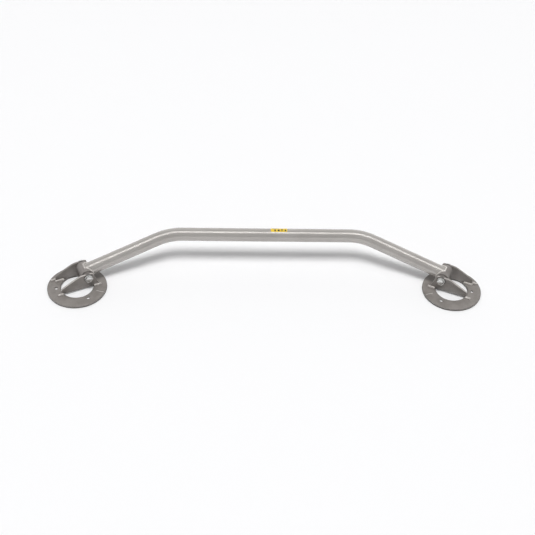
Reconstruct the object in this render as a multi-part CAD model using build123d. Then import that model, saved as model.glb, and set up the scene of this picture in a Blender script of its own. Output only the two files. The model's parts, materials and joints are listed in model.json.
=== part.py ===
from build123d import *
import math
import os

# Upper strut-tower brace: a bent steel tube that links two welded ring plates.
# Millimetres. +X runs along the bar, +Y towards the back, +Z up, resting plane at Z = 0.
# Each end is drawn in a bracket frame: origin at the ring's centre on the resting
# plane, +X towards the bar, +Y towards the back, +Z up. The right end is a mirror image.

# ---- driving dimensions ----
TOWER_SPAN = 955.0          # between the two ring centres
BRACKET_YAW = 25.0          # degrees that each bracket turns back from the X axis
BAR_SETBACK = 112.0         # straight middle of the bar, behind the ring centres
BAR_HEIGHT = 86.5           # middle of the bar above the resting plane
BEND_SPAN = 495.5           # between the corners of the two bends

TUBE_OD = 34.0
TUBE_WALL = 2.0
BEND_RADIUS = 150.0         # centre-line radius of the two bends
TUBE_END_GAP = 2.0          # from the pivot axis to the trimmed end of the tube

RING_OD = 150.0
RING_HOLE_D = 82.0
PLATE_T = 5.0               # ring and cheeks are cut from one plate thickness
EDGE_BREAK = 0.5            # deburred rims of the ring
STUD_HOLE_D = 9.0
STUD_PCD = 104.0
STUD_COUNT = 3
STUD_FIRST_ANGLE = -77.0    # degrees in the bracket frame
INDEX_ANGLE = -41.0         # direction of the scribed line on the ring
INDEX_RADII = (52.0, 71.0)
INDEX_WIDTH = 1.6
INDEX_DEPTH = 0.4

CHEEK_GAP = 48.2            # between the two cheeks' inner faces
CLEVIS_OFFSET = 15.6        # middle of that gap, behind the ring's centre
CHEEK_OUTER_S = -42.5       # ends and corners of the cheek's outline, along the bracket
CHEEK_KNEE_S = 7.7
CHEEK_TOP_S = 40.5
CHEEK_INNER_S = 54.5
CHEEK_END_H = 15.2          # heights above the ring's top
CHEEK_TOP_H = 40.2
CHEEK_CORNER_R = 5.0
CHEEK_KNEE_R = 40.0
CHEEK_HOLE_D = 10.5
PIVOT_S = 27.9              # pivot axis, along the bracket and above the ring's top
PIVOT_H = 29.7

SLEEVE_OD = 32.0
SLEEVE_END_OD = 22.0        # turned-down ends that face the cheeks
SLEEVE_END_LENGTH = 4.0
SLEEVE_CHAMFER = 1.0
SLEEVE_END_PLAY = 0.4       # each end, to the cheek
PIN_CLEARANCE = 0.08        # radial, bolt in sleeve
BOLT_D = 10.0
BOLT_LENGTH = 65.0
SHANK_CHAMFER = 1.0
HEX_AF = 17.0
HEAD_H = 6.4
HEX_CROWN_D = 16.4          # flat circle left on a hexagon's end by its chamfer
HEX_CHAMFER = 30            # degrees
WASHER_OD = 20.0
WASHER_ID = 10.5
WASHER_T = 2.0
NUT_H = 5.0                 # thin nut
NUT_BORE_D = 10.1

FOOT_BEAD_R = 5.0           # leg of the welds along the cheeks' feet
SADDLE_BEAD = 2.5           # leg of the weld between tube and sleeve
# centre spans of the foot welds, along the bracket
OUTER_FOOT = (-49.5, -43.7)
FRONT_INNER_FOOT = (44.5, 55.0)
REAR_INNER_FOOT = (44.0, 50.0)
REAR_INSIDE_FOOT = (-40.0, -26.0)

LABEL_LENGTH = 42.0
LABEL_CENTRE_X = 34.0
LABEL_FROM = 70.0           # degrees round the tube from straight ahead, over the top
LABEL_TO = 132.0
LABEL_T = 0.25

# ---- worked out from them ----
TUBE_R = TUBE_OD / 2
SLEEVE_R = SLEEVE_OD / 2
SLEEVE_LENGTH = CHEEK_GAP - 2 * SLEEVE_END_PLAY
RING_R = RING_OD / 2
RING_TOP = PLATE_T
THROUGH = 4 * PLATE_T       # a drill long enough for one plate
RING_Y = -(BAR_SETBACK + TUBE_R - RING_R) / 2   # puts the whole part's box round Y = 0
BAR_Y = RING_Y + BAR_SETBACK
FRONT_INNER_N = CLEVIS_OFFSET - CHEEK_GAP / 2
REAR_INNER_N = CLEVIS_OFFSET + CHEEK_GAP / 2
FRONT_OUTER_N = FRONT_INNER_N - PLATE_T
REAR_OUTER_N = REAR_INNER_N + PLATE_T
PIVOT_Z = RING_TOP + PIVOT_H

BEAD_TURN = 45              # degrees, puts a bead's seam in the corner that is cut away
ON_END = (Align.CENTER, Align.CENTER, Align.MIN)
LEFT_BRACKET = Pos(-TOWER_SPAN / 2, RING_Y, 0) * Rot(0, 0, BRACKET_YAW)


def towards_back(s, n, h):
    """A frame at (s, n, h) of the bracket whose +Z points to the back, along the pivot."""
    return Pos(s, n, h) * Rot(-90, 0, 0)


def on_pivot(n):
    return towards_back(PIVOT_S, n, PIVOT_Z)


def pivot_point():
    """Middle of the left pivot in the part's frame."""
    return (LEFT_BRACKET * Pos(PIVOT_S, CLEVIS_OFFSET, PIVOT_Z)).position


def bend_point():
    """Corner of the left bend, on the straight bar's centre line."""
    return Vector(-BEND_SPAN / 2, BAR_Y, BAR_HEIGHT)


# ---- ring plate ----
def ring_plate():
    ring = Cylinder(RING_R, PLATE_T, align=ON_END)
    ring -= Cylinder(RING_HOLE_D / 2, PLATE_T, align=ON_END)
    ring = chamfer(ring.edges().filter_by(GeomType.CIRCLE), EDGE_BREAK)
    drill = Pos(STUD_PCD / 2, 0, 0) * Cylinder(STUD_HOLE_D / 2, THROUGH)
    for i in range(STUD_COUNT):
        ring -= Rot(0, 0, STUD_FIRST_ANGLE + i * 360 / STUD_COUNT) * drill
    start, end = INDEX_RADII
    groove = Pos((start + end) / 2, 0, RING_TOP) * Box(end - start, INDEX_WIDTH, 2 * INDEX_DEPTH)
    return ring - Rot(0, 0, INDEX_ANGLE) * groove


# ---- cheeks and their welds ----
def cheek(rear_face_n):
    """One upright plate, its thickness in front of rear_face_n."""
    outline = Polyline(
        (CHEEK_OUTER_S, 0),
        (CHEEK_OUTER_S, CHEEK_END_H),
        (CHEEK_KNEE_S, CHEEK_TOP_H),
        (CHEEK_TOP_S, CHEEK_TOP_H),
        (CHEEK_INNER_S, 0),
        close=True,
    )
    profile = make_face(outline)
    rounding = {CHEEK_OUTER_S: CHEEK_CORNER_R, CHEEK_KNEE_S: CHEEK_KNEE_R, CHEEK_TOP_S: CHEEK_CORNER_R}
    for corner_s, radius in rounding.items():
        raised = [v for v in profile.vertices() if v.Y > CHEEK_END_H / 2]
        corner = min(raised, key=lambda v: abs(v.X - corner_s))
        profile = fillet([corner], radius)
    plate = Pos(0, rear_face_n, RING_TOP) * Rot(90, 0, 0) * extrude(profile, PLATE_T)
    return plate - on_pivot(rear_face_n) * Cylinder(CHEEK_HOLE_D / 2, THROUGH)


def half_space(n, h, towards_n, towards_h):
    """A large block on one side of a face: along N or Z from the bracket point (0, n, h)."""
    size = 4 * RING_R
    return Pos(0, n + towards_n * size / 2, h + towards_h * size / 2) * Box(size, size, size)


def foot_bead(span, face_n, plate):
    """A round weld bead in the corner between the ring's top and one face of a cheek."""
    start, end = span
    profile = make_face([
        Line((start - FOOT_BEAD_R, 0), (end + FOOT_BEAD_R, 0)),
        CenterArc((end, 0), FOOT_BEAD_R, 0, -90),
        Line((end, -FOOT_BEAD_R), (start, -FOOT_BEAD_R)),
        CenterArc((start, 0), FOOT_BEAD_R, -90, -90),
    ])
    bead = Pos(0, face_n, RING_TOP) * Rot(BEAD_TURN, 0, 0) * revolve(profile, Axis.X)
    return bead - half_space(0, RING_TOP, 0, -1) - plate


# ---- pivot ----
def hexagon(height):
    """Hexagon bar with a chamfered far end, standing on its frame's XY plane."""
    bar = extrude(RegularPolygon(HEX_AF / 2, 6, major_radius=False), height)
    crown_r = HEX_CROWN_D / 2
    root_r = crown_r + height / math.tan(math.radians(HEX_CHAMFER))
    return bar & Cone(root_r, crown_r, height, align=ON_END)


def pivot_bolt():
    """Hexagon bolt, its head against the front washer and its shank to the back."""
    seat = on_pivot(FRONT_OUTER_N - WASHER_T)
    head = seat * Rot(180, 0, 0) * hexagon(HEAD_H)
    shank = Cylinder(BOLT_D / 2, BOLT_LENGTH, align=ON_END)
    shank = chamfer(shank.faces().sort_by(Axis.Z)[-1].edges(), SHANK_CHAMFER)
    return head + seat * shank


def washer():
    """Flat washer between the bolt's head and the front cheek."""
    disc = Cylinder(WASHER_OD / 2, WASHER_T, align=ON_END) - Cylinder(WASHER_ID / 2, WASHER_T, align=ON_END)
    return on_pivot(FRONT_OUTER_N - WASHER_T) * disc


def lock_nut():
    """Thin nut against the rear cheek."""
    nut = hexagon(NUT_H) - Cylinder(NUT_BORE_D / 2, NUT_H, align=ON_END)
    return on_pivot(REAR_OUTER_N) * nut


def pivot_sleeve():
    sleeve = Cylinder(SLEEVE_R, SLEEVE_LENGTH - 2 * SLEEVE_END_LENGTH)
    sleeve = chamfer(sleeve.edges().filter_by(GeomType.CIRCLE), SLEEVE_CHAMFER)
    sleeve += Cylinder(SLEEVE_END_OD / 2, SLEEVE_LENGTH)
    sleeve -= Cylinder(BOLT_D / 2 + PIN_CLEARANCE, SLEEVE_LENGTH)
    return on_pivot(CLEVIS_OFFSET) * sleeve


def solid_sleeve(radius):
    """The sleeve's outer shape at a chosen radius, in the part's frame."""
    return LEFT_BRACKET * on_pivot(CLEVIS_OFFSET) * Cylinder(radius, 2 * CHEEK_GAP)


# ---- bar ----
def bar_tube():
    left_pivot, left_bend = pivot_point(), bend_point()
    run_in = (left_bend - left_pivot).normalized() * TUBE_END_GAP
    left = [left_pivot + run_in, left_bend]
    right = [Vector(-p.X, p.Y, p.Z) for p in reversed(left)]
    path = FilletPolyline(*left, *right, radius=BEND_RADIUS)
    start = Plane(origin=left[0], z_dir=left_bend - left_pivot)
    section = start * (Circle(TUBE_R) - Circle(TUBE_R - TUBE_WALL))
    tube = sweep(section, path=path)
    notch = solid_sleeve(SLEEVE_R)
    return tube - notch - mirror(notch, about=Plane.YZ)


def sleeve_weld():
    """Saddle-shaped bead round the end of the tube, lying on the sleeve."""
    pivot, bend = pivot_point(), bend_point()
    start = Plane(origin=pivot + (bend - pivot).normalized() * TUBE_END_GAP, z_dir=bend - pivot)
    collar = start * Cylinder(TUBE_R + SADDLE_BEAD, SLEEVE_R + SADDLE_BEAD, align=ON_END)
    bead = solid_sleeve(SLEEVE_R + SADDLE_BEAD) & collar
    inside = start * Cylinder(TUBE_R, SLEEVE_R + 2 * SADDLE_BEAD, align=ON_END)
    return bead - solid_sleeve(SLEEVE_R) - inside


def label():
    """Plain sticker wrapped on the tube."""
    end = (LABEL_CENTRE_X + LABEL_LENGTH / 2, BAR_Y, BAR_HEIGHT)
    section = Plane(origin=end, x_dir=(0, -1, 0), z_dir=(-1, 0, 0))
    arc = CenterArc((0, 0), TUBE_R + LABEL_T / 2, LABEL_FROM, LABEL_TO - LABEL_FROM)
    return extrude(section * trace(arc, LABEL_T), LABEL_LENGTH)


def bracket_parts():
    front = cheek(FRONT_INNER_N)
    rear = cheek(REAR_OUTER_N)
    front_beads = [foot_bead(span, FRONT_OUTER_N, front) for span in (OUTER_FOOT, FRONT_INNER_FOOT)]
    rear_beads = [foot_bead(span, REAR_OUTER_N, rear) for span in (OUTER_FOOT, REAR_INNER_FOOT)]
    rear_beads.append(foot_bead(REAR_INSIDE_FOOT, REAR_INNER_N, rear))
    return {
        "ring_plate": ring_plate(),
        "front_cheek": front,
        "rear_cheek": rear,
        "front_cheek_welds": Compound(front_beads),
        "rear_cheek_welds": Compound(rear_beads),
        "pivot_sleeve": pivot_sleeve(),
        "pivot_bolt": pivot_bolt(),
        "bolt_washer": washer(),
        "lock_nut": lock_nut(),
    }


def build():
    nodes = {"bar_tube": bar_tube(), "label": label()}
    left = {name: LEFT_BRACKET * shape for name, shape in bracket_parts().items()}
    left["sleeve_weld"] = sleeve_weld()
    for name, shape in left.items():
        nodes["left_" + name] = shape
        nodes["right_" + name] = mirror(shape, about=Plane.YZ)
    return nodes


if __name__ == "__main__":
    os.makedirs("parts", exist_ok=True)
    for name, shape in build().items():
        export_step(shape, f"parts/{name}.step")
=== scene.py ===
import json
import math

import bmesh
import bpy
from mathutils import Matrix, Quaternion, Vector


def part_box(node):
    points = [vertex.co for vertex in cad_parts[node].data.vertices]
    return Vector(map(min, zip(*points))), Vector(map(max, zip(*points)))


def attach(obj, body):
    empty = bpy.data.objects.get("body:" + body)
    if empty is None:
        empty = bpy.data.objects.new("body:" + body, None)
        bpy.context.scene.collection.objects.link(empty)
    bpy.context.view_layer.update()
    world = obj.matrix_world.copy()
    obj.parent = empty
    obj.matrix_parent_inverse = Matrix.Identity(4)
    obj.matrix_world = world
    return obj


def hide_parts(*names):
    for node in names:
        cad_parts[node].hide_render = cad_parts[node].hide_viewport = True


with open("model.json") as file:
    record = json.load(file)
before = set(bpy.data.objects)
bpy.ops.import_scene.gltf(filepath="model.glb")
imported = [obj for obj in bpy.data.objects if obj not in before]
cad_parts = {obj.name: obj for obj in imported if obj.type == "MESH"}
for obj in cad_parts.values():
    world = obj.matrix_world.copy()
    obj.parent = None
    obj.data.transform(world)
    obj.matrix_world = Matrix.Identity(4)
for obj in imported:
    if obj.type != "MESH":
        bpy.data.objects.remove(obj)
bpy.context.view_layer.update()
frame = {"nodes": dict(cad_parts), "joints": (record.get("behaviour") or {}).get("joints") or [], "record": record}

# An upper strut-tower brace: a powder-coated steel tube hinged to two welded ring plates.
# Metres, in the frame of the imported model: +X along the bar, +Y to the back, +Z up.
# On each side, "along" runs from the outer end of the bracket towards the bar,
# and "across" runs along the pivot bolt towards the back.

MM = 0.001
SAME_PLACE = 0.01 * MM       # points closer than this count as one
UP = Vector((0, 0, 1))
SIDES = ("left", "right")


# ---- places read from the model ----
def points(node_name):
    return [vertex.co for vertex in frame["nodes"][node_name].data.vertices]


def extent(node_name, direction):
    """Lowest and highest reach of a node in a direction."""
    reach = [p.dot(direction) for p in points(node_name)]
    return min(reach), max(reach)


class Bracket:
    """The directions and places of one side."""

    def __init__(self, side):
        self.side = side
        self.body = side + "_plate"
        joint = next(j for j in frame["joints"] if j["child"] == self.body)
        self.pivot = Vector(joint["pos_m"])
        axis = Vector(joint["axis"]).normalized()
        self.across = axis if axis.y > 0 else -axis
        towards_bar = 1 if side == "left" else -1
        self.along = self.across.cross(UP) * towards_bar
        self.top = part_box(side + "_ring_plate")[1].z

    def node(self, part):
        return f"{self.side}_{part}"

    def at(self, along, across, height):
        return self.along * along + self.across * across + UP * height


BRACKETS = [Bracket(side) for side in SIDES]


def tube_section():
    """Centre height, setback and radius of the bar's straight middle."""
    nearest = min(abs(p.x) for p in points("bar_tube"))
    rim = [p for p in points("bar_tube") if abs(p.x) < nearest + SAME_PLACE]
    low, high = min(p.z for p in rim), max(p.z for p in rim)
    front, back = min(p.y for p in rim), max(p.y for p in rim)
    return (high + low) / 2, (back + front) / 2, (high - low) / 2


TUBE_Z, TUBE_Y, TUBE_R = tube_section()


# ---- scene helpers ----
def towards(azimuth, elevation):
    """Unit direction so many degrees left of straight ahead and above the floor."""
    a, e = math.radians(azimuth), math.radians(elevation)
    return Vector((-math.sin(a) * math.cos(e), -math.cos(a) * math.cos(e), math.sin(e)))


def linked(name, data):
    """A new object of the scene."""
    obj = bpy.data.objects.new(name, data)
    bpy.context.scene.collection.objects.link(obj)
    return obj


# ---- camera ----
CAMERA_AZIMUTH = 2.61        # degrees
CAMERA_ELEVATION = 43.36
CAMERA_ROLL = 2.25
CAMERA_DISTANCE = 2.5687
CAMERA_LENS = 67.69          # millimetres, on a 36 mm sensor
CAMERA_SHIFT = (0.0039, 0.0407)


def tower_line_middle():
    """Half way between the two rings, on the resting plane."""
    low_l, high_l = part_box("left_ring_plate")
    low_r, high_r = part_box("right_ring_plate")
    middle = (low_l + high_l + low_r + high_r) / 4
    return Vector((middle.x, middle.y, low_l.z))


def make_camera():
    back = towards(CAMERA_AZIMUTH, CAMERA_ELEVATION)
    data = bpy.data.cameras.new("camera")
    data.lens = CAMERA_LENS
    data.shift_x, data.shift_y = CAMERA_SHIFT
    camera = linked("camera", data)
    camera.rotation_mode = "QUATERNION"
    camera.location = tower_line_middle() + back * CAMERA_DISTANCE
    roll = Quaternion((0, 0, 1), math.radians(CAMERA_ROLL))
    camera.rotation_quaternion = (-back).to_track_quat("-Z", "Y") @ roll
    bpy.context.scene.camera = camera


make_camera()


# ---- materials ----
def linear(hex_colour):
    """An sRGB hex colour as linear RGBA."""
    rgba = []
    for i in (1, 3, 5):
        c = int(hex_colour[i:i + 2], 16) / 255
        rgba.append(c / 12.92 if c <= 0.04045 else ((c + 0.055) / 1.055) ** 2.4)
    return (*rgba, 1.0)


def add(tree, kind, links=None, values=None, **settings):
    """Adds a node: settings are its properties, values its sockets' constants, links its inputs."""
    node = tree.nodes.new(kind)
    for name, value in settings.items():
        setattr(node, name, value)
    for name, value in (values or {}).items():
        node.inputs[name].default_value = value
    for name, socket in (links or {}).items():
        tree.links.new(socket, node.inputs[name])
    return node


def new_material(name):
    material = bpy.data.materials.new(name)
    material.use_nodes = True
    material.node_tree.nodes.clear()
    return material, material.node_tree


def per_size(size):
    """Noise scale for features of a real size in metres."""
    return 1 / size


def object_place(tree):
    return add(tree, "ShaderNodeTexCoord").outputs["Object"]


def noise(tree, where, size, detail=2.0, roughness=0.5):
    values = {"Scale": per_size(size), "Detail": detail, "Roughness": roughness}
    return add(tree, "ShaderNodeTexNoise", {"Vector": where}, values).outputs["Fac"]


def between(tree, value, start, end, low=0.0, high=1.0):
    """Value mapped smoothly from start..end to low..high."""
    values = {"From Min": start, "From Max": end, "To Min": low, "To Max": high}
    smooth = {"interpolation_type": "SMOOTHSTEP"}
    return add(tree, "ShaderNodeMapRange", {"Value": value}, values, **smooth).outputs["Result"]


def maths(tree, operation, a, b=None):
    """A Math node on sockets or numbers."""
    node = add(tree, "ShaderNodeMath", operation=operation)
    for slot, value in enumerate((a, b)):
        if value is None:
            continue
        if isinstance(value, (int, float)):
            node.inputs[slot].default_value = value
        else:
            tree.links.new(value, node.inputs[slot])
    return node.outputs["Value"]


def mixed(tree, factor, first, second):
    """Colours mixed by a factor; a colour is a hex value or a socket."""
    node = add(tree, "ShaderNodeMix", {"Factor": factor}, data_type="RGBA")
    for slot, colour in ((6, first), (7, second)):
        if isinstance(colour, str):
            node.inputs[slot].default_value = linear(colour)
        else:
            tree.links.new(colour, node.inputs[slot])
    return node.outputs[2]


def vectors(tree, operation, first, second=None, constant=None):
    """A Vector Math node on a socket and a second socket or constant."""
    links = {0: first} if second is None else {0: first, 1: second}
    values = {} if constant is None else {1: constant}
    return add(tree, "ShaderNodeVectorMath", links, values, operation=operation).outputs


def bumped(tree, height, distance):
    values = {"Strength": 1.0, "Distance": distance}
    return add(tree, "ShaderNodeBump", {"Height": height}, values)


def finish_shader(tree, links, values, bump=None):
    if bump is not None:
        links = dict(links, Normal=bump.outputs["Normal"])
    shader = add(tree, "ShaderNodeBsdfPrincipled", links, values)
    add(tree, "ShaderNodeOutputMaterial", {"Surface": shader.outputs["BSDF"]})


def mirrored_place(tree):
    """Object place folded about the bar's middle, for masks of both sides, and its height."""
    split = add(tree, "ShaderNodeSeparateXYZ", {"Vector": object_place(tree)})
    folded = maths(tree, "ABSOLUTE", split.outputs["X"])
    links = {"X": folded, "Y": split.outputs["Y"], "Z": split.outputs["Z"]}
    return add(tree, "ShaderNodeCombineXYZ", links).outputs["Vector"], split.outputs["Z"]


def from_ring_axis(tree, where):
    """Distance from the ring's own axis."""
    low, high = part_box("right_ring_plate")
    offset = vectors(tree, "SUBTRACT", where, constant=(low + high) / 2)["Vector"]
    flat = vectors(tree, "MULTIPLY", offset, constant=(1, 1, 0))["Vector"]
    return vectors(tree, "LENGTH", flat)["Value"]


def from_bolt_axis(tree, where):
    """Distance from the pivot bolt's axis."""
    right = BRACKETS[1]
    offset = vectors(tree, "SUBTRACT", where, constant=right.pivot)["Vector"]
    turned = vectors(tree, "CROSS_PRODUCT", offset, constant=right.across)["Vector"]
    return vectors(tree, "LENGTH", turned)["Value"]


def silver_powder_coat():
    """Polyester powder coat with aluminium flake: satin, a faint sparkle, orange peel over it."""
    material, tree = new_material("silver_powder_coat")
    where = object_place(tree)
    drift = noise(tree, where, 70 * MM)
    # The real flakes are about 0.05 mm; they are drawn 1.2 mm across, or they would average out.
    flake = add(tree, "ShaderNodeTexVoronoi", {"Vector": where}, {"Scale": per_size(1.2 * MM)})
    flake_tint = flake.outputs["Color"]
    sparkle = add(tree, "ShaderNodeSeparateColor", {"Color": flake_tint}).outputs["Red"]
    base = mixed(tree, between(tree, drift, 0.3, 0.7), "#AAA6A2", "#B2AEAA")
    colour = mixed(tree, maths(tree, "MULTIPLY", sparkle, 0.2), base, "#C4C1BD")
    scuff = noise(tree, where, 12 * MM, 4.0, 0.6)
    roughness = between(tree, scuff, 0.35, 0.75, 0.2, 0.27)
    # Orange peel is 1 to 2 mm from crest to crest and is drawn at 3 mm.
    peel = bumped(tree, noise(tree, where, 3 * MM, 1.0), 0.01 * MM)
    links = {"Base Color": colour, "Roughness": roughness}
    values = {"Metallic": 0.35, "Coat Weight": 0.4, "Coat Roughness": 0.1}
    finish_shader(tree, links, values, peel)
    return material


def frame_mount(name):
    return next(m for m in frame["record"]["mounts"] if m["name"] == name)


SHALLOWEST_GROOVE = 0.05 * MM
DEEPEST_GROOVE = 0.48 * MM   # just less than the chamfer of the ring's rims


def groove_floor():
    """Height of the scribed line's floor: the ring's first level under its top face."""
    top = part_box("left_ring_plate")[1].z
    steps = {round(p.z / SAME_PLACE) for p in points("left_ring_plate")}
    levels = [step * SAME_PLACE for step in steps]
    return max(z for z in levels if top - DEEPEST_GROOVE < z < top - SHALLOWEST_GROOVE)


# Each band of painted shade is full up to its first distance from the edge and gone at its second.
OUTER_RIM_SHADE = (0.2 * MM, 2.0 * MM)
HOLE_RIM_SHADE = (0.4 * MM, 2.4 * MM)
WASHER_SHADE = (0.5 * MM, 3.0 * MM)


def plate_painted_shade(tree, folded, height):
    """Mask of painted shade: dark bands at the ring's two rims and round the washers, where contact shadow falls.
    """
    top = BRACKETS[0].top
    ring_low, ring_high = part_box("right_ring_plate")
    hole_r = frame_mount("right_tower_opening")["dims"]["r_mm"] * MM
    outer_r = (ring_high.x - ring_low.x) / 2
    out = from_ring_axis(tree, folded)
    full, gone = OUTER_RIM_SHADE
    outer_rim = between(tree, out, outer_r - gone, outer_r - full)
    full, gone = HOLE_RIM_SHADE
    inner_rim = between(tree, out, hole_r + gone, hole_r + full)
    on_ring = between(tree, height, top + 0.3 * MM, top + 0.1 * MM)
    rims = maths(tree, "MULTIPLY", maths(tree, "MAXIMUM", outer_rim, inner_rim), on_ring)
    washer_low, washer_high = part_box("right_bolt_washer")
    washer_r = (washer_high.z - washer_low.z) / 2
    full, gone = WASHER_SHADE
    near = between(tree, from_bolt_axis(tree, folded), washer_r + gone, washer_r + full)
    on_cheek = between(tree, height, top + 1 * MM, top + 3 * MM)
    round_washer = maths(tree, "MULTIPLY", near, on_cheek)
    return maths(tree, "MAXIMUM", round_washer, maths(tree, "MULTIPLY", rims, 0.85))


def grey_plate_paint(name, hex_dark, hex_light):
    """Darker grey satin enamel over rolled plate: slightly uneven, with painted shade at the rims and round the
    washers.
    """
    material, tree = new_material(name)
    folded, height = mirrored_place(tree)
    where = object_place(tree)
    cloud = noise(tree, where, 22 * MM, 4.0, 0.6)
    colour = mixed(tree, between(tree, cloud, 0.3, 0.7), hex_dark, hex_light)
    painted_shade = plate_painted_shade(tree, folded, height)
    patchy = between(tree, noise(tree, where, 5 * MM, 3.0), 0.25, 0.6, 0.55, 0.85)
    # Painted shade: the ring's rims and the cheek round the washer are darkened where contact shadow would fall.
    colour = mixed(tree, maths(tree, "MULTIPLY", painted_shade, patchy), colour, "#2F2C2B")
    # The scribed line cuts through the paint to bright steel.
    floor = groove_floor()
    below = between(tree, height, floor + 0.12 * MM, floor + 0.06 * MM)
    above = between(tree, height, floor - 0.12 * MM, floor - 0.06 * MM)
    colour = mixed(tree, maths(tree, "MULTIPLY", below, above), colour, "#D2D0CC")
    scuff = noise(tree, where, 6 * MM, 5.0, 0.7)
    roughness = between(tree, scuff, 0.3, 0.75, 0.36, 0.52)
    peel = bumped(tree, noise(tree, where, 2.5 * MM, 2.0), 0.03 * MM)
    links = {"Base Color": colour, "Roughness": roughness}
    values = {"Metallic": 0.15, "Coat Weight": 0.1, "Coat Roughness": 0.25}
    finish_shader(tree, links, values, peel)
    return material


def weld_with_painted_highlight():
    """Weld ripples under the same paint, coloured much lighter than the plates: a painted highlight for the light
    the beads catch.
    """
    material, tree = new_material("weld_with_painted_highlight")
    where = object_place(tree)
    spatter = noise(tree, where, 2.5 * MM, 3.0, 0.6)
    colour = mixed(tree, between(tree, spatter, 0.35, 0.65), "#B5B0AC", "#DAD6D2")
    bump = bumped(tree, noise(tree, where, 1.2 * MM, 2.0), 0.05 * MM)
    values = {"Metallic": 0.35, "Roughness": 0.36, "Coat Weight": 0.1}
    finish_shader(tree, {"Base Color": colour}, values, bump)
    return material


def bright_zinc():
    """Electroplated zinc on a rolled fastener: near-white, softly mirrored, faint wipe marks."""
    material, tree = new_material("bright_zinc_plate")
    where = object_place(tree)
    cloud = noise(tree, where, 4 * MM, 4.0, 0.6)
    colour = mixed(tree, between(tree, cloud, 0.3, 0.7), "#C9C9C8", "#E3E3E1")
    roughness = between(tree, noise(tree, where, 1.5 * MM, 4.0, 0.7), 0.3, 0.75, 0.16, 0.38)
    bump = bumped(tree, noise(tree, where, 1.5 * MM, 2.0), 0.02 * MM)
    links = {"Base Color": colour, "Roughness": roughness}
    finish_shader(tree, links, {"Metallic": 1.0}, bump)
    return material


def turned_steel():
    """Painted turned sleeve: the grey enamel with the lathe's fine rings showing through."""
    material, tree = new_material("painted_turned_steel")
    where = object_place(tree)
    cloud = noise(tree, where, 15 * MM, 3.0)
    colour = mixed(tree, between(tree, cloud, 0.3, 0.7), "#837E7B", "#918C89")
    bump = bumped(tree, noise(tree, where, 2 * MM, 3.0), 0.03 * MM)
    finish_shader(tree, {"Base Color": colour}, {"Metallic": 0.25, "Roughness": 0.38}, bump)
    return material


LABEL_UV = "label_uv"
# Plain bars: start and end along the label, low and high round the tube, as fractions of it.
LABEL_BARS = [
    (0.22, 0.31, 0.10, 0.42),
    (0.42, 0.54, 0.10, 0.42),
    (0.62, 0.66, 0.10, 0.70),
    (0.71, 0.75, 0.10, 0.70),
    (0.84, 0.94, 0.10, 0.42),
    (0.08, 0.48, 0.58, 0.70),
]


def printed_vinyl():
    """Yellow vinyl film with plain black bars: glossy, slightly faded in patches."""
    material, tree = new_material("yellow_printed_vinyl")
    place = add(tree, "ShaderNodeUVMap", uv_map=LABEL_UV).outputs["UV"]
    split = add(tree, "ShaderNodeSeparateXYZ", {"Vector": place})
    along, round_tube = split.outputs["X"], split.outputs["Y"]
    bars = None
    for start, end, low, high in LABEL_BARS:
        inside = maths(tree, "GREATER_THAN", along, start)
        for operation, place, limit in (
            ("LESS_THAN", along, end),
            ("GREATER_THAN", round_tube, low),
            ("LESS_THAN", round_tube, high),
        ):
            inside = maths(tree, "MULTIPLY", inside, maths(tree, operation, place, limit))
        bars = inside if bars is None else maths(tree, "MAXIMUM", bars, inside)
    fade = noise(tree, object_place(tree), 8 * MM, 3.0)
    yellow = mixed(tree, between(tree, fade, 0.3, 0.7), "#E2BC22", "#F0D038")
    colour = mixed(tree, bars, yellow, "#17171A")
    grain = bumped(tree, noise(tree, object_place(tree), 2 * MM), 0.01 * MM)
    values = {"Roughness": 0.3, "Coat Weight": 0.3, "Coat Roughness": 0.1}
    finish_shader(tree, {"Base Color": colour}, values, grain)
    return material


SILVER = silver_powder_coat()
PLATE = grey_plate_paint("grey_plate_paint", "#7D7874", "#8C8783")
# Painted highlight: a lighter copy of the plate paint for the front cheeks' edges, standing for the light they
# catch.
EDGE_HIGHLIGHT = grey_plate_paint("grey_paint_painted_edge_highlight", "#A8A39F", "#BAB5B1")
WELD = weld_with_painted_highlight()
ZINC = bright_zinc()
SLEEVE = turned_steel()
VINYL = printed_vinyl()


def assign(node_name, material):
    node = frame["nodes"][node_name]
    node.data.materials.clear()
    node.data.materials.append(material)


# ---- pieces ----
MERGE_DISTANCE = 0.002 * MM
FLAT_ANGLE = math.radians(0.5)      # faces flatter than this to each other are one face
BEVEL_ANGLE = math.radians(32)      # edges sharper than this are rolled over
SMOOTH_ANGLE = math.radians(35)     # edges sharper than this stay crisp


def new_piece(name, mesh, body, replaced):
    piece = linked(name, mesh)
    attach(piece, body)
    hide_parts(replaced)


def plain_mesh(obj, name):
    """The object's evaluated shape as a mesh of its own; the object is then removed."""
    bpy.context.view_layer.update()
    graph = bpy.context.evaluated_depsgraph_get()
    mesh = bpy.data.meshes.new_from_object(obj.evaluated_get(graph), depsgraph=graph)
    mesh.name = name
    bpy.data.objects.remove(obj)
    return mesh


def merged_copy(node_name):
    """A node's mesh with its loose triangles joined and its flat faces whole."""
    work = bmesh.new()
    work.from_mesh(frame["nodes"][node_name].data)
    bmesh.ops.remove_doubles(work, verts=work.verts, dist=MERGE_DISTANCE)
    bmesh.ops.dissolve_limit(
        work, angle_limit=FLAT_ANGLE, verts=work.verts, edges=work.edges, delimit={"NORMAL"},
    )
    return work


def bevelled(work, name, width, material):
    """The shape with its sharp edges rolled over, smooth where it is curved."""
    mesh = bpy.data.meshes.new(name)
    work.to_mesh(mesh)
    work.free()
    mesh.materials.append(material)
    obj = linked(name + "_work", mesh)
    bevel = obj.modifiers.new("rolled edge", "BEVEL")
    bevel.width = width
    bevel.segments = 3
    bevel.limit_method = "ANGLE"
    bevel.angle_limit = BEVEL_ANGLE
    bevel.use_clamp_overlap = True
    result = plain_mesh(obj, name)
    smooth_by_angle(result)
    return result


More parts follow.
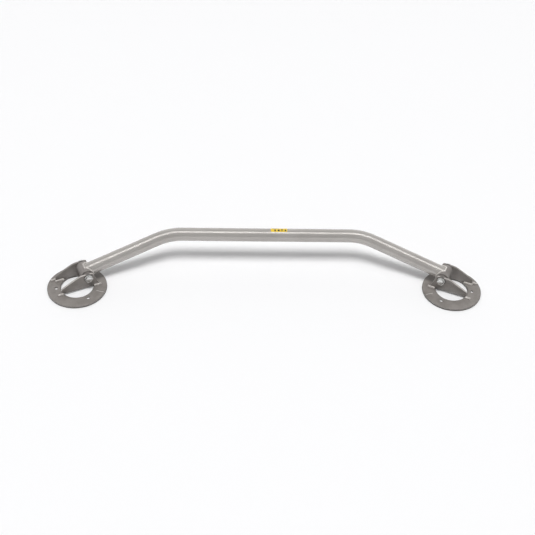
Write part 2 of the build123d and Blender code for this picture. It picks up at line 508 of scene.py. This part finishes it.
def smooth_by_angle(mesh):
    """Smooths the mesh and marks its sharp edges, so flat faces stay flat."""
    work = bmesh.new()
    work.from_mesh(mesh)
    for edge in work.edges:
        edge.smooth = len(edge.link_faces) == 2 and edge.calc_face_angle(0) < SMOOTH_ANGLE
    for face in work.faces:
        face.smooth = True
    work.to_mesh(mesh)
    work.free()


# ---- Geometry Nodes ----
OUTWARD = "outward"          # the point attribute that a weld's ripples lean along


def new_tree(name, inputs):
    """A geometry tree with named inputs: name -> (socket kind, value or None)."""
    tree = bpy.data.node_groups.new(name, "GeometryNodeTree")
    for input_name, (kind, value) in inputs.items():
        kind = "NodeSocket" + kind
        socket = tree.interface.new_socket(input_name, in_out="INPUT", socket_type=kind)
        if value is not None:
            socket.default_value = value
    tree.interface.new_socket("Geometry", in_out="OUTPUT", socket_type="NodeSocketGeometry")
    return tree, add(tree, "NodeGroupInput").outputs


def end_tree(tree, geometry, material):
    for kind, links in (
        ("GeometryNodeRealizeInstances", {}),
        ("GeometryNodeSetShadeSmooth", {}),
        ("GeometryNodeSetMaterial", {"Material": material}),
    ):
        geometry = add(tree, kind, {"Geometry": geometry, **links}).outputs["Geometry"]
    add(tree, "NodeGroupOutput", {"Geometry": geometry})


def grown(tree, base_mesh, name, values):
    """Runs a geometry tree on a mesh with its named inputs set, and returns the plain result."""
    obj = linked(name + "_work", base_mesh)
    modifier = obj.modifiers.new(tree.name, "NODES")
    modifier.node_group = tree
    for item in tree.interface.items_tree:
        if item.in_out == "INPUT" and item.name in values:
            modifier[item.identifier] = values[item.name]
    return plain_mesh(obj, name)


def scaled(tree, vector, factor):
    links = {0: vector, "Scale": factor}
    return add(tree, "ShaderNodeVectorMath", links, operation="SCALE").outputs["Vector"]


def ripple_tree():
    """Weld ripples: overlapping lens shapes leaning back along a path, like a row of coins."""
    tree, inputs = new_tree("weld_ripples", {
        "Geometry": ("Geometry", None),
        "Pitch": ("Float", 1.6 * MM),
        "Radius": ("Float", 3.5 * MM),
        "Half thickness": ("Float", 1.5 * MM),
        "Lean": ("Float", 0.45),
        "Unevenness": ("Float", 0.06),
        "Material": ("Material", None),
    })
    curve = add(tree, "GeometryNodeMeshToCurve", {"Mesh": inputs["Geometry"]}).outputs["Curve"]
    links = {"Curve": curve, "Length": inputs["Pitch"]}
    spaced = add(tree, "GeometryNodeResampleCurve", links, mode="LENGTH")
    tangent = add(tree, "GeometryNodeInputTangent").outputs["Tangent"]
    values = {"Name": OUTWARD}
    outward = add(tree, "GeometryNodeInputNamedAttribute", None, values, data_type="FLOAT_VECTOR")
    lean = scaled(tree, outward.outputs["Attribute"], inputs["Lean"])
    facing = vectors(tree, "ADD", tangent, lean)["Vector"]
    turn = add(tree, "FunctionNodeAlignRotationToVector", {"Vector": facing}, axis="Z")
    links = {"X": inputs["Radius"], "Y": inputs["Radius"], "Z": inputs["Half thickness"]}
    size = add(tree, "ShaderNodeCombineXYZ", links).outputs["Vector"]
    smallest = maths(tree, "SUBTRACT", 1.0, inputs["Unevenness"])
    values = {3: 1.0, "Seed": 7}
    chance = add(tree, "FunctionNodeRandomValue", {2: smallest}, values, data_type="FLOAT")
    values = {"Segments": 14, "Rings": 7, "Radius": 1.0}
    lens = add(tree, "GeometryNodeMeshUVSphere", None, values)
    placed = add(tree, "GeometryNodeInstanceOnPoints", {
        "Points": spaced.outputs["Curve"],
        "Instance": lens.outputs["Mesh"],
        "Rotation": turn.outputs["Rotation"],
        "Scale": scaled(tree, size, chance.outputs[1]),
    })
    end_tree(tree, placed.outputs["Instances"], inputs["Material"])
    return tree


def thread_tree():
    """A rolled V thread: a fine cylinder whose radius follows the turn of a screw."""
    tree, inputs = new_tree("rolled_thread", {
        "Geometry": ("Geometry", None),
        "Length": ("Float", 10 * MM),
        "Radius": ("Float", 5 * MM),
        "Pitch": ("Float", 1.5 * MM),
        "Depth": ("Float", 0.9 * MM),
        "Material": ("Material", None),
    })
    links = {"Radius": inputs["Radius"], "Depth": inputs["Length"]}
    values = {"Vertices": 32, "Side Segments": 48}
    bar = add(tree, "GeometryNodeMeshCylinder", links, values)
    place = add(tree, "GeometryNodeInputPosition").outputs["Position"]
    split = add(tree, "ShaderNodeSeparateXYZ", {"Vector": place}).outputs
    turns = maths(tree, "DIVIDE", maths(tree, "ARCTAN2", split["Y"], split["X"]), 2 * math.pi)
    climb = maths(tree, "DIVIDE", split["Z"], inputs["Pitch"])
    phase = maths(tree, "FRACT", maths(tree, "SUBTRACT", climb, turns))
    ridge = maths(tree, "SUBTRACT", maths(tree, "MULTIPLY", phase, 2.0), 1.0)
    relative_depth = maths(tree, "DIVIDE", inputs["Depth"], inputs["Radius"])
    cut = maths(tree, "MULTIPLY", maths(tree, "ABSOLUTE", ridge), relative_depth)
    shrink = maths(tree, "SUBTRACT", 1.0, cut)
    links = {axis: maths(tree, "MULTIPLY", split[axis], shrink) for axis in ("X", "Y")}
    moved = add(tree, "ShaderNodeCombineXYZ", {**links, "Z": split["Z"]}).outputs["Vector"]
    links = {"Geometry": bar.outputs["Mesh"], "Position": moved}
    shaped = add(tree, "GeometryNodeSetPosition", links)
    end_tree(tree, shaped.outputs["Geometry"], inputs["Material"])
    return tree


RIPPLES = ripple_tree()
THREAD = thread_tree()


def path_mesh(paths):
    """Edges along each path of (point, outward direction) pairs."""
    mesh = bpy.data.meshes.new("weld_paths")
    places, edges, outwards = [], [], []
    for path in paths:
        first = len(places)
        places += [point for point, _ in path]
        outwards += [outward for _, outward in path]
        edges += [(first + i, first + i + 1) for i in range(len(path) - 1)]
    mesh.from_pydata(places, edges, [])
    attribute = mesh.attributes.new(OUTWARD, "FLOAT_VECTOR", "POINT")
    for item, outward in zip(attribute.data, outwards):
        item.vector = outward
    return mesh


def loose_parts(node_name):
    """The separate solids of a node, as lists of points, in the order of their first points."""
    work = merged_copy(node_name)
    seen = set()
    parts = []
    for first in work.verts:
        if first in seen:
            continue
        seen.add(first)
        group, queue = [], [first]
        while queue:
            vertex = queue.pop()
            group.append(vertex.co.copy())
            for edge in vertex.link_edges:
                other = edge.other_vert(vertex)
                if other not in seen:
                    seen.add(other)
                    queue.append(other)
        parts.append(group)
    work.free()
    return parts


# ---- plates, washers and nuts with rolled edges ----
ROLLED_PARTS = (
    ("front_cheek", 0.6 * MM, PLATE, "plate_paint"),
    ("rear_cheek", 0.6 * MM, PLATE, "plate_paint"),
    ("bolt_washer", 0.35 * MM, ZINC, "zinc_fastener"),
    ("lock_nut", 0.3 * MM, ZINC, "zinc_fastener"),
)
EDGE_FACING = 0.8            # a face this square to the bolt belongs to a cheek's flat side


def soften_plates(bracket):
    for part, width, material, slot in ROLLED_PARTS:
        node = bracket.node(part)
        mesh = bevelled(merged_copy(node), node + "_finished", width, material)
        # Only the front cheeks get the lighter edges: a painted highlight.
        if part == "front_cheek":
            paint_edge_highlights(mesh, bracket)
        new_piece(node + "_finished", mesh, bracket.body, node)


def paint_edge_highlights(mesh, bracket):
    """Painted highlight: the faces of a front cheek's cut edge get a lighter copy of the paint, as if they caught
    the light.
    """
    mesh.materials.append(EDGE_HIGHLIGHT)
    for face in mesh.polygons:
        if abs(face.normal.dot(bracket.across)) < EDGE_FACING:
            face.material_index = 1


# ---- foot welds ----
FOOT_RIPPLE_R = 3.5 * MM
FOOT_PITCH = 1.7 * MM
FOOT_STANDOFF = 1.35 * MM    # centre of the ripples, out of the corner
FOOT_INSET = 0.6             # of a ripple's radius, so the end ripples stay inside the bead


def foot_weld(bracket, cheek, welds):
    """Ripples along each foot weld of a cheek, in the corner where the CAD bead lies."""
    front, back = extent(bracket.node(cheek), bracket.across)
    paths = []
    for part in loose_parts(bracket.node(welds)):
        across = [p.dot(bracket.across) for p in part]
        along = [p.dot(bracket.along) for p in part]
        side = -1 if abs(min(across) - front) > abs(max(across) - back) else 1
        face = front if side < 0 else back
        inset = FOOT_RIPPLE_R * FOOT_INSET
        outward = (bracket.across * side + UP).normalized()
        place, height = face + side * FOOT_STANDOFF, bracket.top + FOOT_STANDOFF
        ends = (min(along) + inset, max(along) - inset)
        paths.append([(bracket.at(end, place, height), outward) for end in ends])
    name = bracket.node(cheek) + "_foot_weld"
    values = {"Pitch": FOOT_PITCH, "Radius": FOOT_RIPPLE_R, "Material": WELD}
    mesh = grown(RIPPLES, path_mesh(paths), name, values)
    new_piece(name, mesh, bracket.body, bracket.node(welds))


# ---- saddle weld round the tube's end ----
SADDLE_RIPPLE_R = 2.3 * MM
SADDLE_RIPPLE_HALF = 1.4 * MM
SADDLE_PITCH = 1.8 * MM
SADDLE_POINTS = 96
SADDLE_STANDOFF = 0.9 * MM
TUBE_END_GAP = 2 * MM        # least distance from the pivot to the tube's end
PAST_TUBE_END = 60 * MM      # beyond every point of the coped end, short of the bend
RIM_SPREAD = 0.5 * MM        # the points of one rim differ in distance by less than this


def bar_direction(bracket):
    """Direction of the bar's end run: from the pivot to the middle of the bend's first rim."""
    far = [p for p in points("bar_tube") if (p - bracket.pivot).length > PAST_TUBE_END]
    reach = min((p - bracket.pivot).length for p in far) + RIM_SPREAD
    rim = [p for p in far if (p - bracket.pivot).length < reach]
    places = {tuple(round(c / SAME_PLACE) for c in p) for p in rim}
    middle = sum((Vector(p) for p in places), Vector()) * SAME_PLACE / len(places)
    return (middle - bracket.pivot).normalized()


def saddle_path(bracket):
    """The line where the tube's skin meets the sleeve, closed, pushed out into the corner."""
    run = bar_direction(bracket)
    sleeve_low, sleeve_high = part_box(bracket.node("pivot_sleeve"))
    sleeve_r = (sleeve_high.z - sleeve_low.z) / 2
    sideways = run.cross(bracket.across).normalized()
    cross = sideways.cross(run).normalized()
    run_flat = run - bracket.across * run.dot(bracket.across)
    path = []
    for i in range(SADDLE_POINTS + 1):
        angle = 2 * math.pi * i / SADDLE_POINTS
        skin = sideways * math.cos(angle) + cross * math.sin(angle)
        offset = skin * (TUBE_R + SADDLE_STANDOFF)
        offset_flat = offset - bracket.across * offset.dot(bracket.across)
        # Where this line along the tube's skin leaves the sleeve's cylinder.
        a, b = run_flat.dot(run_flat), 2 * run_flat.dot(offset_flat)
        c = offset_flat.dot(offset_flat) - sleeve_r ** 2
        root = b * b - 4 * a * c
        leaves = (-b + math.sqrt(root)) / (2 * a) if root > 0 else 0.0
        reach = max(leaves, TUBE_END_GAP)
        path.append((bracket.pivot + offset + run * (reach + SADDLE_STANDOFF), skin))
    return path


def saddle_weld(bracket):
    name = bracket.node("saddle_weld")
    values = {
        "Pitch": SADDLE_PITCH,
        "Radius": SADDLE_RIPPLE_R,
        "Half thickness": SADDLE_RIPPLE_HALF,
        "Material": WELD,
    }
    mesh = grown(RIPPLES, path_mesh([saddle_path(bracket)]), name, values)
    new_piece(name, mesh, "bar", bracket.node("sleeve_weld"))


# ---- bolt ----
THREAD_LENGTH = 26 * MM
BOLT_EDGE = 0.3 * MM


def pivot_bolt(bracket):
    """The hexagon bolt with a rolled thread over its last part."""
    node = bracket.node("pivot_bolt")
    start = extent(node, bracket.across)[1] - THREAD_LENGTH
    work = merged_copy(node)
    bmesh.ops.bisect_plane(
        work,
        geom=work.verts[:] + work.edges[:] + work.faces[:],
        plane_co=bracket.across * start,
        plane_no=bracket.across,
        clear_outer=True,
    )
    bmesh.ops.holes_fill(work, edges=[edge for edge in work.edges if len(edge.link_faces) < 2])
    bmesh.ops.recalc_face_normals(work, faces=work.faces)
    shank = bevelled(work, node + "_shank", BOLT_EDGE, ZINC)
    base = bpy.data.meshes.new("thread_base")
    values = {"Length": THREAD_LENGTH, "Radius": shank_radius(bracket), "Material": ZINC}
    thread = grown(THREAD, base, node + "_thread", values)
    past_pivot = start + THREAD_LENGTH / 2 - bracket.pivot.dot(bracket.across)
    turned = UP.rotation_difference(bracket.across).to_matrix().to_4x4()
    thread.transform(Matrix.Translation(bracket.pivot + bracket.across * past_pivot) @ turned)
    joined = bmesh.new()
    joined.from_mesh(shank)
    joined.from_mesh(thread)
    mesh = bpy.data.meshes.new(node + "_finished")
    joined.to_mesh(mesh)
    joined.free()
    mesh.materials.append(ZINC)
    smooth_by_angle(mesh)
    new_piece(node + "_finished", mesh, bracket.body, node)


def shank_radius(bracket):
    """The bolt's radius, from its points in the back half of the clevis."""
    middle = bracket.pivot.dot(bracket.across)
    past = [p for p in points(bracket.node("pivot_bolt")) if p.dot(bracket.across) > middle]
    offsets = [p - bracket.pivot for p in past]
    return max((o - bracket.across * o.dot(bracket.across)).length for o in offsets)


# ---- label ----
LABEL_CORNER = 3 * MM
LABEL_GRID = (40, 16)        # faces along the label and round the tube
FILM_LIFT = 0.03 * MM        # clear of the tube's skin
FILM_THICKNESS = 0.2 * MM


def rounded(x, y, half_x, half_y):
    """A point of a rectangle moved so that the rectangle's corners become round."""
    inner_x, inner_y = half_x - LABEL_CORNER, half_y - LABEL_CORNER
    over_x, over_y = abs(x) - inner_x, abs(y) - inner_y
    if over_x <= 0 or over_y <= 0:
        return x, y
    shrink = max(over_x, over_y) / math.hypot(over_x, over_y)
    return math.copysign(inner_x + over_x * shrink, x), math.copysign(inner_y + over_y * shrink, y)


def label_film():
    """A thin patch with round corners, wrapped on the tube."""
    low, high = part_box("label")
    angles = [math.atan2(p.z - TUBE_Z, -(p.y - TUBE_Y)) for p in points("label")]
    angle_low, angle_high = min(angles), max(angles)
    half_x, half_arc = (high.x - low.x) / 2, (angle_high - angle_low) * TUBE_R / 2
    centre_x, centre_angle = (low.x + high.x) / 2, (angle_high + angle_low) / 2
    radius = TUBE_R + FILM_LIFT
    work = bmesh.new()
    uv_of = {}
    rows = []
    columns, lines = LABEL_GRID
    for j in range(lines + 1):
        row = []
        for i in range(columns + 1):
            u, v = i / columns, j / lines
            x, arc = rounded((2 * u - 1) * half_x, (2 * v - 1) * half_arc, half_x, half_arc)
            angle = centre_angle + arc / TUBE_R
            vertex = work.verts.new((
                centre_x + x,
                TUBE_Y - radius * math.cos(angle),
                TUBE_Z + radius * math.sin(angle),
            ))
            uv_of[vertex] = (x / half_x / 2 + 0.5, arc / half_arc / 2 + 0.5)
            row.append(vertex)
        rows.append(row)
    layer = work.loops.layers.uv.new(LABEL_UV)
    for j in range(lines):
        for i in range(columns):
            corners = (rows[j][i], rows[j][i + 1], rows[j + 1][i + 1], rows[j + 1][i])
            face = work.faces.new(corners)
            for loop in face.loops:
                loop[layer].uv = uv_of[loop.vert]
    work.faces.ensure_lookup_table()
    work.normal_update()
    middle = work.faces[0].calc_center_median()
    out = Vector((0, middle.y - TUBE_Y, middle.z - TUBE_Z))
    if work.faces[0].normal.dot(out) < 0:
        bmesh.ops.reverse_faces(work, faces=work.faces)
    mesh = bpy.data.meshes.new("label_film")
    work.to_mesh(mesh)
    work.free()
    mesh.materials.append(VINYL)
    obj = linked("label_film_work", mesh)
    film = obj.modifiers.new("film thickness", "SOLIDIFY")
    film.thickness = FILM_THICKNESS
    film.offset = 1.0
    result = plain_mesh(obj, "label_film")
    smooth_by_angle(result)
    new_piece("label_film", result, "bar", "label")


for bracket in BRACKETS:
    assign(bracket.node("ring_plate"), PLATE)
    assign(bracket.node("pivot_sleeve"), SLEEVE)
    soften_plates(bracket)
    foot_weld(bracket, "front_cheek", "front_cheek_welds")
    foot_weld(bracket, "rear_cheek", "rear_cheek_welds")
    saddle_weld(bracket)
    pivot_bolt(bracket)
assign("bar_tube", SILVER)
label_film()


# ---- floor and light ----
FLOOR_HALF = 8.0
# The long lights hang lengthwise over the bar, nearly overhead.
STRIP_ELEVATION = 85
STRIP_DISTANCE = 6.0
STRIP_LENGTH = 12.0


def make_floor():
    """White paper that runs far past the object on every side."""
    mesh = bpy.data.meshes.new("floor")
    h = FLOOR_HALF
    mesh.from_pydata([(-h, -h, 0), (h, -h, 0), (h, h, 0), (-h, h, 0)], [], [(0, 1, 2, 3)])
    material, tree = new_material("white_paper")
    values = {"Base Color": linear("#F2F2F3"), "Roughness": 0.9, "Specular IOR Level": 0.2}
    finish_shader(tree, {}, values)
    mesh.materials.append(material)
    linked("floor", mesh)


def aimed_light(name, kind, energy, direction):
    """A light that shines from a direction."""
    data = bpy.data.lights.new(name, kind)
    data.energy = energy
    light = linked(name, data)
    light.rotation_mode = "QUATERNION"
    light.rotation_quaternion = (-direction).to_track_quat("-Z", "Y")
    return light


def soft_sun(name, elevation, spread, strength):
    """A wide even source far away; it gives shade and shadow but no highlight."""
    light = aimed_light(name, "SUN", strength, towards(0, elevation))
    light.data.angle = math.radians(spread)
    light.visible_glossy = False


def strip_light(name, width, power):
    direction = towards(0, STRIP_ELEVATION)
    light = aimed_light(name, "AREA", power, direction)
    light.data.shape = "RECTANGLE"
    light.data.size, light.data.size_y = STRIP_LENGTH, width
    light.location = tower_line_middle() + direction * STRIP_DISTANCE
    light.visible_camera = False
    return light


def make_light():
    soft_sun("key", elevation=73, spread=20, strength=1.95)
    # One strip lights the floor and the paint; the other only draws the tube's long highlight.
    strip_light("overhead_strip", width=0.9, power=66).visible_glossy = False
    strip_light("highlight_strip", width=1.1, power=480).visible_diffuse = False
    bpy.context.scene.view_settings.view_transform = "Standard"


def make_room():
    """A pale room, lighter on the wall behind the bar."""
    world = bpy.data.worlds.new("studio")
    bpy.context.scene.world = world
    world.use_nodes = True
    tree = world.node_tree
    tree.nodes.clear()
    facing = add(tree, "ShaderNodeTexCoord").outputs["Generated"]
    split = add(tree, "ShaderNodeSeparateXYZ", {"Vector": facing})
    strength = between(tree, split.outputs["Y"], 0.35, 0.9, 0.33, 0.85)
    values = {"Color": (1, 1, 1, 1)}
    sky = add(tree, "ShaderNodeBackground", {"Strength": strength}, values)
    add(tree, "ShaderNodeOutputWorld", {"Surface": sky.outputs["Background"]})


make_floor()
make_light()
make_room()
